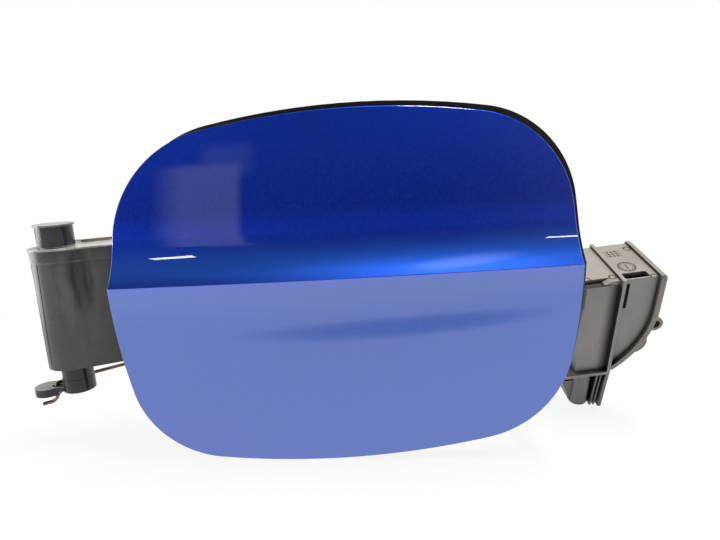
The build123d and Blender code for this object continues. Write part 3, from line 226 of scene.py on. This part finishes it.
class Signal:
    """A shader socket that takes part in ordinary arithmetic."""

    def __init__(self, tree, socket=None):
        self.tree = tree
        self.socket = socket

    def add(self, kind, settings=None, inputs=None, output=0):
        """One output of a new node, after its settings and the values or links of its inputs."""
        node = self.tree.nodes.new(kind)
        for name, value in (settings or {}).items():
            if name == "stops":
                fill_ramp(node.color_ramp, value)
            else:
                setattr(node, name, value)
        for key, value in (inputs or {}).items():
            if isinstance(value, Signal):
                self.tree.links.new(value.socket, node.inputs[key])
            else:
                node.inputs[key].default_value = value
        return Signal(self.tree, node.outputs[output] if node.outputs else None)

    def math(self, operation, *values):
        return self.add("ShaderNodeMath", {"operation": operation}, dict(enumerate(values)))

    def __add__(self, other):
        return self.math("ADD", self, other)

    def __radd__(self, other):
        return self.math("ADD", other, self)

    def __sub__(self, other):
        return self.math("SUBTRACT", self, other)

    def __rsub__(self, other):
        return self.math("SUBTRACT", other, self)

    def __mul__(self, other):
        return self.math("MULTIPLY", self, other)

    def __rmul__(self, other):
        return self.math("MULTIPLY", other, self)

    def __truediv__(self, other):
        return self.math("DIVIDE", self, other)

    def either(self, other):
        """The larger of the two."""
        return self.math("MAXIMUM", self, other)

    def fraction(self):
        return self.math("FRACT", self)

    def step(self, low, high):
        """0 below low and 1 above high, with a smooth rise between."""
        settings = {"interpolation_type": "SMOOTHSTEP"}
        return self.add("ShaderNodeMapRange", settings, {"Value": self, "From Min": low, "From Max": high})

    def fall(self, low, high):
        """1 below low and 0 above high, with a smooth fall between."""
        return 1 - self.step(low, high)

    def near(self, value, half, soft):
        """1 where this lies within half of a value, falling to 0 over a soft edge."""
        return self.math("ABSOLUTE", self - value).fall(half, half + soft)

    def between(self, low, high, soft):
        """1 between two limits, with soft edges inside them."""
        return self.step(low, low + soft) * self.fall(high - soft, high)

    def ramp(self, stops):
        return self.add("ShaderNodeValToRGB", {"stops": stops}, {"Fac": self})

    def axis(self, name):
        return self.add("ShaderNodeSeparateXYZ", None, {"Vector": self}, name)

    def noise(self, scale, detail=2.0, roughness=0.5):
        inputs = {"Vector": self, "Scale": scale, "Detail": detail, "Roughness": roughness}
        return self.add("ShaderNodeTexNoise", None, inputs, "Fac")

    def cells(self, scale, output="Distance"):
        return self.add("ShaderNodeTexVoronoi", None, {"Vector": self, "Scale": scale}, output)

    def stretched(self, scale):
        return self.add("ShaderNodeMapping", None, {"Vector": self, "Scale": scale})

    def local(self, place, turn):
        """Coordinates in a frame that is placed and turned in the object."""
        inputs = {"Vector": self, "Location": place, "Rotation": turn}
        return self.add("ShaderNodeMapping", {"vector_type": "TEXTURE"}, inputs)

    def flat(self):
        """These coordinates with their height taken out."""
        return self.add("ShaderNodeVectorMath", {"operation": "MULTIPLY"}, {0: self, 1: (1.0, 1.0, 0.0)})

    def distance(self, across, deep):
        """Distance in plan from a spot."""
        ends = {0: self.flat(), 1: (across, deep, 0.0)}
        return self.add("ShaderNodeVectorMath", {"operation": "DISTANCE"}, ends, "Value")

    def length(self):
        return self.add("ShaderNodeVectorMath", {"operation": "LENGTH"}, {0: self}, "Value")

    def blend(self, first, second):
        """Colour that goes from first to second as this value goes from 0 to 1."""
        return self.add("ShaderNodeMix", {"data_type": "RGBA"}, {0: self, 6: first, 7: second}, 2)

    def tint(self, under, over, share):
        """Lays one colour over another where this is 1, as strongly as its share."""
        return (self * share).blend(under, over)

    def bump(self, strength, distance):
        return self.add("ShaderNodeBump", None, {"Height": self, "Strength": strength, "Distance": distance})


def fill_ramp(ramp, stops):
    while len(ramp.elements) < len(stops):
        ramp.elements.new(0.5)
    for element, (place, colour) in zip(ramp.elements, stops):
        element.position = place
        element.color = colour


def soft_spot(across, up):
    """1 in the middle of a soft round spot, given the distances from it as shares of its reach."""
    return (across * across + up * up).fall(0.0, 1.0)


def grey(level):
    return (level, level, level, 1.0)


def in_metres(values):
    return [value * MM for value in values]


def empty_tree(owner):
    """The cleared node tree of a material or world, ready for its first node."""
    owner.use_nodes = True
    owner.node_tree.nodes.clear()
    return Signal(owner.node_tree)


def new_material(name):
    """A material with its Principled shader, and the object coordinates to write it in."""
    material = bpy.data.materials.new(name)
    material.use_nodes = True
    tree = material.node_tree
    shader = tree.nodes["Principled BSDF"]
    place = Signal(tree).add("ShaderNodeTexCoord", None, None, "Object")
    return material, shader, place


def dress(shader, varying, fixed):
    """Links what changes over the surface and sets what is the same all over it."""
    for name, value in varying.items():
        value.tree.links.new(value.socket, shader.inputs[name])
    for name, value in fixed.items():
        shader.inputs[name].default_value = value


def facing_up(place):
    """1 on faces that point upwards."""
    return place.add("ShaderNodeTexCoord", None, None, "Normal").axis("Z").step(0.6, 0.95)


def blue_with_painted_shading(height):
    """Blue of the paint as painted shading by height: a painted highlight in the band above the crease,
    deepest in the upper field.
    """
    upper = height.step(*UPPER_TO_TOP).blend(UPPER_BLUE, TOP_BLUE)
    face = height.step(*FLARE_TO_UPPER).blend(FLARE_BLUE, upper)
    face = height.between(*FOOT_LEVELS, FOOT_EDGE).tint(face, FOOT_BLUE, share=0.6)
    crease = height.step(*LOWER_TO_CREASE).blend(LOWER_BLUE, CREASE_BLUE)
    band = height.between(*BAND_LEVELS, BAND_EDGE).blend(crease, BAND_HIGHLIGHT_BLUE)
    return height.step(*BAND_TO_FACE).blend(band, face)


def blue_paint():
    """Deep blue metallic paint with fine flake and a few specks of dust, under clear lacquer; its blue is
    painted lighter and darker by height as painted highlight and shade.
    """
    material, shader, place = new_material("blue_metallic_paint")
    flake = place.cells(FLAKE_SCALE, "Color")
    flake = flake.add("ShaderNodeSeparateColor", None, {"Color": flake}, "Red")
    cloud = place.noise(scale=30.0, detail=3.0)
    # Painted highlight and shade: the blue is set by height on the door.
    colour = blue_with_painted_shading(place.axis("Z"))
    sparkle = (flake * 0.6 + cloud * 0.4).step(0.2, 0.8)
    colour = sparkle.tint(colour, FLAKE_BLUE, share=0.24)
    dust = place.cells(scale=85.0).fall(0.012, 0.022) * place.noise(scale=40.0, detail=1.0).step(0.55, 0.6)
    colour = dust.tint(colour, PAINT_DUST, share=0.7)
    rough = place.noise(scale=12.0) * 0.05 + 0.42
    dress(
        shader,
        {
            "Base Color": colour,
            "Roughness": rough,
            "Normal": flake.bump(strength=0.13, distance=FLAKE_RELIEF),
        },
        {"Metallic": 0.92, "Coat Weight": 1.0, "Coat Roughness": 0.015, "Coat IOR": 2.1},
    )
    return material


def moulded_plastic(name, dark, light, rough, grain, finish=None, dust=0.12, corners=1.0):
    """Moulded plastic with fine grain, cloudy rubbed patches, dusty tops and painted shade darkening its
    corners.
    """
    material, shader, place = new_material(name)
    cloud = place.noise(scale=45.0, detail=4.0, roughness=0.6)
    fine = place.noise(scale=grain)
    tone = (cloud * 0.75 + fine * 0.25).step(0.2, 0.82)
    colour = tone.blend((*dark, 1), (*light, 1))
    specks = place.cells(scale=210.0).fall(0.03, 0.055) * place.noise(scale=60.0, detail=1.0).step(0.58, 0.64)
    colour = specks.tint(colour, SPECK, share=0.6)
    colour = facing_up(place).tint(colour, DUST, share=cloud * 2.5 * dust + dust)
    # Painted shade: ambient occlusion darkens corners and creases, in the colour and through Metallic.
    open_sky = place.add("ShaderNodeAmbientOcclusion", {"samples": 6}, {"Distance": CORNER_REACH}, "AO")
    corner_shade = open_sky.fall(0.28, 0.92) * corners
    metallic_darkening = corner_shade * 0.6
    relief = fine
    if finish:
        colour, relief, painted_darks = finish(place, colour, relief)
        # The finish's seam, painted shadows, shade and reflections darken through Metallic too.
        metallic_darkening = painted_darks.either(metallic_darkening)
    colour = corner_shade.blend(colour, CORNER_SHADE)
    dress(
        shader,
        {
            "Base Color": colour,
            "Roughness": cloud * 0.16 + rough,
            "Metallic": metallic_darkening,
            "Normal": relief.bump(strength=0.25, distance=GRAIN_RELIEF),
        },
        {"Specular IOR Level": 0.5},
    )
    return material


def barrel_patch(wide, height, patch):
    """Soft upright patch on the barrel, from its X, height and reach each way."""
    x, level, reach_x, reach_up = in_metres(patch)
    return soft_spot((wide - x) / reach_x, (height - level) / reach_up)


def barrel_scuffs_and_painted_light(place, colour, on_barrel):
    """Upright scuffs on the barrel, the arm beyond it painted darker as shade, painted reflections on the
    barrel as upright dark streaks, a dark patch and a pale patch, and where the dark patch lies.
    """
    height = place.axis("Z")
    upright = place.stretched(STREAK_STRETCH)
    scuff = upright.noise(scale=420.0, detail=3.0, roughness=0.6).step(0.52, 0.78)
    scuff = scuff * place.noise(scale=55.0).step(0.42, 0.62)
    colour = (scuff * on_barrel).tint(colour, BARREL_SCUFF, share=0.3)
    # Painted shade: the arm and carrier beyond the barrel are painted darker than the barrel.
    colour = on_barrel.blend(ARM_SHADE_BLACK, colour)
    # Painted reflections: soft upright dark streaks on the barrel.
    reflected_streaks = upright.noise(scale=120.0).step(0.38, 0.66)
    colour = (reflected_streaks * on_barrel).tint(colour, BARREL_STREAK_REFLECTION, share=0.55)
    front = place.axis("Y").fall(*BARREL_FRONT)
    wide = place.noise(scale=150.0) * PATCH_WAVER + place.axis("X")
    streaks = upright.noise(scale=380.0).step(0.3, 0.62)
    # Painted reflections: a dark patch and a pale patch on the barrel's front.
    dark_reflection = barrel_patch(wide, height, DARK_REFLECTION_PATCH) * (streaks * 0.6 + 0.4) * front
    colour = dark_reflection.tint(colour, BARREL_DARK_REFLECTION, share=0.75)
    pale_reflection = barrel_patch(wide, height, PALE_REFLECTION_PATCH) * front
    colour = pale_reflection.tint(colour, BARREL_PALE_REFLECTION, share=0.3)
    return colour, dark_reflection


def barrel_seam(place):
    """Fine moulding seam down the left of the barrel."""
    height = place.axis("Z")
    line = (place.axis("X") - height * SEAM_SLANT).near(SEAM_X, SEAM_HALF, SEAM_EDGE)
    return line * place.axis("Y").fall(*SEAM_FRONT) * height.between(*SEAM_LEVELS, SEAM_END)


def edge_highlights_and_rubbed_rim(place, colour, on_barrel):
    """Painted highlights along the barrel's lip, ledge and rear edge, and the pale rubbed rim of the cap."""
    height = place.axis("Z")
    patchy = place.noise(scale=160.0, detail=3.0).step(0.3, 0.6)
    # Painted highlights along the barrel's lip and ledge.
    lip = height.near(BARREL_TOP, LIP_HALF, LIP_EDGE) * on_barrel
    colour = lip.tint(colour, LIP_HIGHLIGHT, share=patchy * 0.5 + 0.4)
    ledge = height.near(BARREL_FIELD_TOP, BARREL_LEDGE_HALF, BARREL_LEDGE_EDGE) * on_barrel
    colour = ledge.tint(colour, LEDGE_HIGHLIGHT, share=patchy * 0.25)
    rim = height.step(CAP_RIM - RIM_EDGE, CAP_RIM + RIM_EDGE) * on_barrel
    colour = rim.tint(colour, RUBBED_RIM, share=patchy * 0.35 + 0.5)
    # Painted highlight along the barrel's rear edge.
    rear = place.axis("Y").step(*BARREL_REAR) * height.step(*REAR_LEVEL) * on_barrel
    return rear.tint(colour, REAR_HIGHLIGHT, share=0.6)


def hinge_finish(place, colour, relief):
    """Arm painted darker as shade, barrel with scuffs and painted reflections, dust and painted sheen on its
    tops, its seam, painted highlights on its edges and its rubbed cap rim.
    """
    on_barrel = place.axis("X").fall(*ARM_START)
    colour, dark_reflection = barrel_scuffs_and_painted_light(place, colour, on_barrel)
    # Dust and painted sheen on the barrel's upward faces.
    tops = facing_up(place) * on_barrel * place.axis("Z").fall(*BELOW_CAP)
    colour = tops.tint(colour, BARREL_DUST_AND_SHEEN, share=place.noise(scale=90.0, detail=3.0) * 0.4 + 0.3)
    seam = barrel_seam(place)
    colour = seam.blend(colour, SEAM_BLACK)
    colour = edge_highlights_and_rubbed_rim(place, colour, on_barrel)
    return colour, relief, seam.either(dark_reflection * 0.6)


def ring_marks(lock):
    """Ejector rings, and the ring of the dial."""
    rings = []
    for mark in (*EJECTOR_MARKS, DIAL_MARK):
        across, deep, radius = in_metres(mark)
        rings.append(lock.distance(across, deep).near(radius, RING_HALF, RING_EDGE))
    return reduce(Signal.either, rings)


def dial_marks(lock):
    """Ticks and hand of the plain dial."""
    middle_across, middle_deep = in_metres(DIAL_MARK[:2])
    across = lock.axis("X") - middle_across
    deep = lock.axis("Y") - middle_deep
    away = lock.distance(middle_across, middle_deep)
    turn = lock.math("ARCTAN2", deep, across) * DIAL_TICKS
    ticks = turn.math("COSINE", turn).step(0.1, 0.5) * away.between(*TICK_REACH, REACH_EDGE)
    hand = across.near(0.0, HAND_HALF, HAND_EDGE) * away.between(*HAND_REACH, REACH_EDGE)
    return ticks.either(hand)


def dot_marks(lock):
    """Field of round dots on a square grid."""
    middle_across, middle_deep, half_across, half_deep = in_metres(DOT_FIELD)
    across = lock.axis("X") - middle_across
    deep = lock.axis("Y") - middle_deep
    column = (across / (DOT_PITCH * MM) + 0.5).fraction() - 0.5
    row = (deep / (DOT_PITCH * MM) + 0.5).fraction() - 0.5
    dot = (column * column + row * row).fall(*DOT_ROUND)
    return dot * across.near(0.0, half_across, DOT_FIELD_EDGE) * deep.near(0.0, half_deep, DOT_FIELD_EDGE)


def slit_and_notch_shadows(lock):
    """Painted shadow of the slit beside the flange, and painted shadow on the floor of the notch, on the
    lock's front.
    """
    across = lock.axis("X")
    high = lock.axis("Z")
    slit = across.between(*SLIT_SIDES, SLIT_EDGE) * high.between(*SLIT_LEVELS, SLIT_END)
    notch = across.fall(*NOTCH_SIDE) * high.near(NOTCH_FLOOR, NOTCH_HALF, NOTCH_EDGE)
    return (slit + notch * 0.8) * lock.axis("Y").fall(*LOCK_FRONT)


def flange_corner_shadow(lock):
    """Painted shade in the corner left of the flange, from the ledge up to the notch."""
    across = lock.axis("X")
    corner_shade = across.step(*FLANGE_SHADOW_RISE) * across.fall(*FLANGE_SIDE)
    level = lock.axis("Z").between(*FLANGE_SHADOW_LEVELS, FLANGE_SHADOW_END)
    return corner_shade * lock.axis("Y").fall(*LOCK_FRONT) * level


def lock_finish(place, colour, relief):
    """Marks sunk in the lock's top, painted shadows in its slit and notch, painted shade in the corner by its
    flange, and the darker connector.
    """
    lock = place.local(LOCK_PLACE, LOCK_TURN)
    high = lock.axis("Z")
    marks = ring_marks(lock).either(dial_marks(lock)).either(dot_marks(lock)) * high.step(*LOCK_TOP)
    colour = marks.tint(colour, MARK_DIRT, share=0.9)
    # Painted shadows in the slit and on the notch's floor.
    painted_darks = slit_and_notch_shadows(lock)
    colour = painted_darks.blend(colour, PAINTED_SHADOW_BLACK)
    # Painted shade in the corner left of the flange.
    flange_shadow = flange_corner_shadow(lock)
    colour = flange_shadow.tint(colour, FLANGE_SHADOW_GREY, share=0.75)
    connector = high.fall(LOCK_LEDGE_LEVEL - LOCK_LEDGE_DEPTH, LOCK_LEDGE_LEVEL)
    colour = connector.tint(colour, CONNECTOR_TINT, share=0.35)
    return colour, relief - marks * 3.0, painted_darks.either(flange_shadow * 0.5)


def metal(name, bright, metallic_darkening, rough):
    """Metal with faint fine marks and dull patches."""
    material, shader, place = new_material(name)
    cloud = place.noise(scale=70.0, detail=3.0)
    fine = place.noise(scale=900.0)
    colour = cloud.step(0.35, 0.7).blend((*bright, 1), (*metallic_darkening, 1))
    dress(
        shader,
        {
            "Base Color": colour,
            "Roughness": cloud * 0.2 + rough,
            "Normal": fine.bump(strength=0.1, distance=METAL_RELIEF),
        },
        {"Metallic": 0.9},
    )
    return material


def put(material, *nodes):
    """Gives a material to pieces, in place of the one they came with."""
    for name in nodes:
        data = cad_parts[name].data
        data.materials.clear()
        data.materials.append(material)


def finish_door_and_hinge():
    put(blue_paint(), "door_skin")
    carrier = moulded_plastic(
        "black_moulding",
        dark=(0.04, 0.042, 0.041),
        light=(0.085, 0.088, 0.086),
        rough=0.2,
        grain=BLACK_GRAIN,
        finish=hinge_finish,
        dust=0.0,
        corners=0.25,
    )
    put(carrier, "hinge_carrier")
    pin = moulded_plastic(
        "black_gloss",
        dark=(0.008, 0.009, 0.009),
        light=(0.022, 0.023, 0.023),
        rough=0.12,
        grain=BLACK_GRAIN,
        finish=hinge_finish,
        dust=0.0,
        corners=0.5,
    )
    put(pin, "hinge_pin", "hinge_cap")
    wire = metal("bronzed_wire", bright=(0.22, 0.17, 0.14), metallic_darkening=(0.14, 0.1, 0.085), rough=0.28)
    put(wire, "spring_wire")


def finish_lock():
    housing = moulded_plastic(
        "grey_moulding",
        dark=(0.19, 0.187, 0.183),
        light=(0.26, 0.256, 0.25),
        rough=0.42,
        grain=GREY_GRAIN,
        finish=lock_finish,
    )
    put(housing, "lock_housing")
    lid = moulded_plastic(
        "grey_lid",
        dark=(0.155, 0.145, 0.132),
        light=(0.215, 0.203, 0.187),
        rough=0.42,
        grain=GREY_GRAIN,
        finish=lock_finish,
    )
    put(lid, "lock_cover")
    guide = moulded_plastic(
        "black_guide", dark=(0.03, 0.03, 0.03), light=(0.05, 0.05, 0.05), rough=0.4, grain=BLACK_GRAIN
    )
    put(guide, "latch_guide")


def finish_inner_pieces():
    natural = moulded_plastic(
        "natural_moulding", dark=(0.62, 0.59, 0.5), light=(0.72, 0.7, 0.62), rough=0.4, grain=NATURAL_GRAIN
    )
    put(natural, "lock_bolt", "drive_gear", "motor_end_cap")
    rubber = moulded_plastic(
        "black_rubber", dark=(0.012, 0.012, 0.012), light=(0.03, 0.03, 0.029), rough=0.7, grain=RUBBER_GRAIN
    )
    put(rubber, "bump_stops", "bolt_seal")
    steel = metal("plated_steel", bright=(0.56, 0.55, 0.53), metallic_darkening=(0.42, 0.42, 0.41), rough=0.3)
    put(steel, "stud_washers", "catch_plate", "catch_screws", "gear_axle", "motor_rotor", "motor_can")
    magnet = metal("dark_magnet", bright=(0.07, 0.07, 0.075), metallic_darkening=(0.11, 0.11, 0.11), rough=0.5)
    put(magnet, "motor_magnets")
    contact = metal("bright_contact", bright=(0.72, 0.55, 0.3), metallic_darkening=(0.6, 0.45, 0.24), rough=0.25)
    put(contact, "connector_terminals", "motor_pinion")


def camera():
    """Camera where the one of the photograph stood, looking down and leaning."""
    pitch = math.radians(CAMERA_PITCH)
    roll = math.radians(CAMERA_ROLL)
    ahead = Vector((0, math.cos(pitch), -math.sin(pitch)))
    level = Vector((1, 0, 0))
    upright = Vector((0, math.sin(pitch), math.cos(pitch)))
    right = level * math.cos(roll) - upright * math.sin(roll)
    up = level * math.sin(roll) + upright * math.cos(roll)
    data = bpy.data.cameras.new("photo_camera")
    data.lens = CAMERA_LENS
    data.sensor_width = CAMERA_SENSOR
    data.clip_start = CAMERA_NEAR
    eye = bpy.data.objects.new("photo_camera", data)
    turn = Matrix((right, up, -ahead)).transposed().to_4x4()
    eye.matrix_world = Matrix.Translation(CAMERA_PLACE) @ turn
    bpy.context.scene.collection.objects.link(eye)
    bpy.context.scene.camera = eye


def mirrored_floor(place):
    """Brightness of the floor as glossy pieces mirror it."""
    along = place.axis("X") - STRIP_PLACE[0]
    aside = place.axis("Y") + along * STRIP_SLANT
    strip = soft_spot(along / STRIP_REACH[0], (aside - STRIP_PLACE[1]) / STRIP_REACH[1])
    bright = aside.fall(*NEAR_EDGE).blend(grey(1.0), grey(NEAR_GREY))
    bright = strip.blend(bright, grey(STRIP_GREY))
    left = place.axis("X").fall(*LEFT_END) * place.axis("Y").between(*LEFT_END_DEPTH, LEFT_END_EDGE)
    return left.blend(bright, grey(LEFT_END_GREY))


def floor_white():
    """White floor that keeps the part's shadow, and that glossy and clear pieces show as white."""
    material = bpy.data.materials.new("studio_floor")
    start = empty_tree(material)
    place = start.add("ShaderNodeTexCoord", None, None, "Object")
    seen = start.add("ShaderNodeLightPath", None, None, "Is Camera Ray")
    mirrored = start.add("ShaderNodeLightPath", None, None, "Is Glossy Ray")
    through = start.add("ShaderNodeLightPath", None, None, "Is Transmission Ray")
    shown = mirrored.blend(grey(1.0), mirrored_floor(place))
    lit = start.add("ShaderNodeBsdfDiffuse", None, {"Color": FLOOR_WHITE})
    white = start.add("ShaderNodeEmission", None, {"Color": shown, "Strength": 1.0})
    plain = seen * (place.length().step(*SHADOW_REACH) * SHADOW_SHARE + (1 - SHADOW_SHARE))
    white_share = plain.either(mirrored.either(through))
    mixed = start.add("ShaderNodeMixShader", None, {0: white_share, 1: lit, 2: white})
    start.add("ShaderNodeOutputMaterial", None, {"Surface": mixed})
    return material


def floor():
    bpy.ops.object.select_all(action="DESELECT")
    lean = math.radians(FLOOR_LEAN)
    bpy.ops.mesh.primitive_plane_add(size=FLOOR_SIZE, location=FLOOR_SPOT, rotation=(0.0, lean, 0.0))
    table = bpy.context.object
    table.name = "studio_floor"
    table.data.materials.append(floor_white())


def studio_grey(way):
    """Dim studio in front of the part, with a pale screen and panel on its left, and the backdrop behind."""
    height = way.axis("Z")
    ahead = 0 - way.axis("Y")
    front = ahead.step(*STUDIO_FRONT)
    depth = ahead.either(LEAST_DEPTH)
    aside = way.axis("X") / depth
    rise = height / depth
    studio = (height * 0.5 + 0.5).ramp([(stop, grey(level)) for stop, level in STUDIO_GREYS])
    studio = aside.step(*RIGHT_SIDE).blend(studio, grey(RIGHT_GREY))
    panel = aside.between(*PANEL_SIDES, PANEL_SIDE_EDGE) * rise.between(*PANEL_RISE, PANEL_RISE_EDGE)
    studio = (panel * front).blend(studio, grey(PANEL_GREY))
    screen = aside.step(*SCREEN_LEFT) * aside.fall(*SCREEN_RIGHT) * rise.between(*SCREEN_RISE, SCREEN_EDGE)
    studio = (screen * front).blend(studio, grey(SCREEN_GREY))
    glow_across = (aside - GLOW_PLACE[0]) / GLOW_REACH[0]
    glow_up = (rise - GLOW_PLACE[1]) / GLOW_REACH[1]
    glow = soft_spot(glow_across, glow_up) * front
    ceiling = glow.blend(grey(CEILING_GREY), grey(GLOW_GREY))
    mirrored = way.add("ShaderNodeLightPath", None, None, "Is Glossy Ray")
    around = front.blend(grey(BACKDROP_GREY), studio)
    return (mirrored * height.step(*CEILING_START)).blend(around, ceiling)


def studio_world():
    """World that is plain white to the camera, and the studio to everything else."""
    world = bpy.data.worlds.new("studio")
    start = empty_tree(world)
    way = start.add("ShaderNodeTexCoord", None, None, "Generated")
    seen = start.add("ShaderNodeLightPath", None, None, "Is Camera Ray")
    colour = seen.blend(studio_grey(way), grey(1.0))
    back = start.add("ShaderNodeBackground", None, {"Color": colour, "Strength": 1.0})
    start.add("ShaderNodeOutputWorld", None, {"Surface": back})
    bpy.context.scene.world = world


def lamp(name, place, aim, size, power, colour=PLAIN_WHITE):
    """Rectangular lamp at a place, turned to what it lights."""
    data = bpy.data.lights.new(name, "AREA")
    data.shape = "RECTANGLE"
    data.size, data.size_y = size
    data.energy = power
    data.color = colour
    light = bpy.data.objects.new(name, data)
    way = Vector(aim) - Vector(place)
    light.matrix_world = Matrix.Translation(place) @ way.to_track_quat("-Z", "Y").to_matrix().to_4x4()
    bpy.context.scene.collection.objects.link(light)


def lamps():
    lamp(
        "overhead",
        place=(0.4, -0.03, 1.0),
        aim=(0.2, -0.02, 0.0),
        size=(0.56, 0.22),
        power=11.6,
        colour=WARM_WHITE,
    )
    lamp("left_window", place=(-0.75, -0.15, 0.03), aim=(0.0, 0.0, -0.02), size=(0.4, 0.18), power=3.0)
    lamp("left_tube", place=(-0.349, -0.79, 0.51), aim=(0.1, -0.02, 0.0), size=(0.11, 0.05), power=0.12)
    lamp("right_tube", place=(0.66, -0.77, 0.5), aim=(0.15, -0.02, 0.0), size=(0.09, 0.03), power=0.06)


bpy.context.scene.view_settings.view_transform = "Standard"
camera()
floor()
studio_world()
lamps()
finish_door_and_hinge()
finish_lock()
finish_inner_pieces()
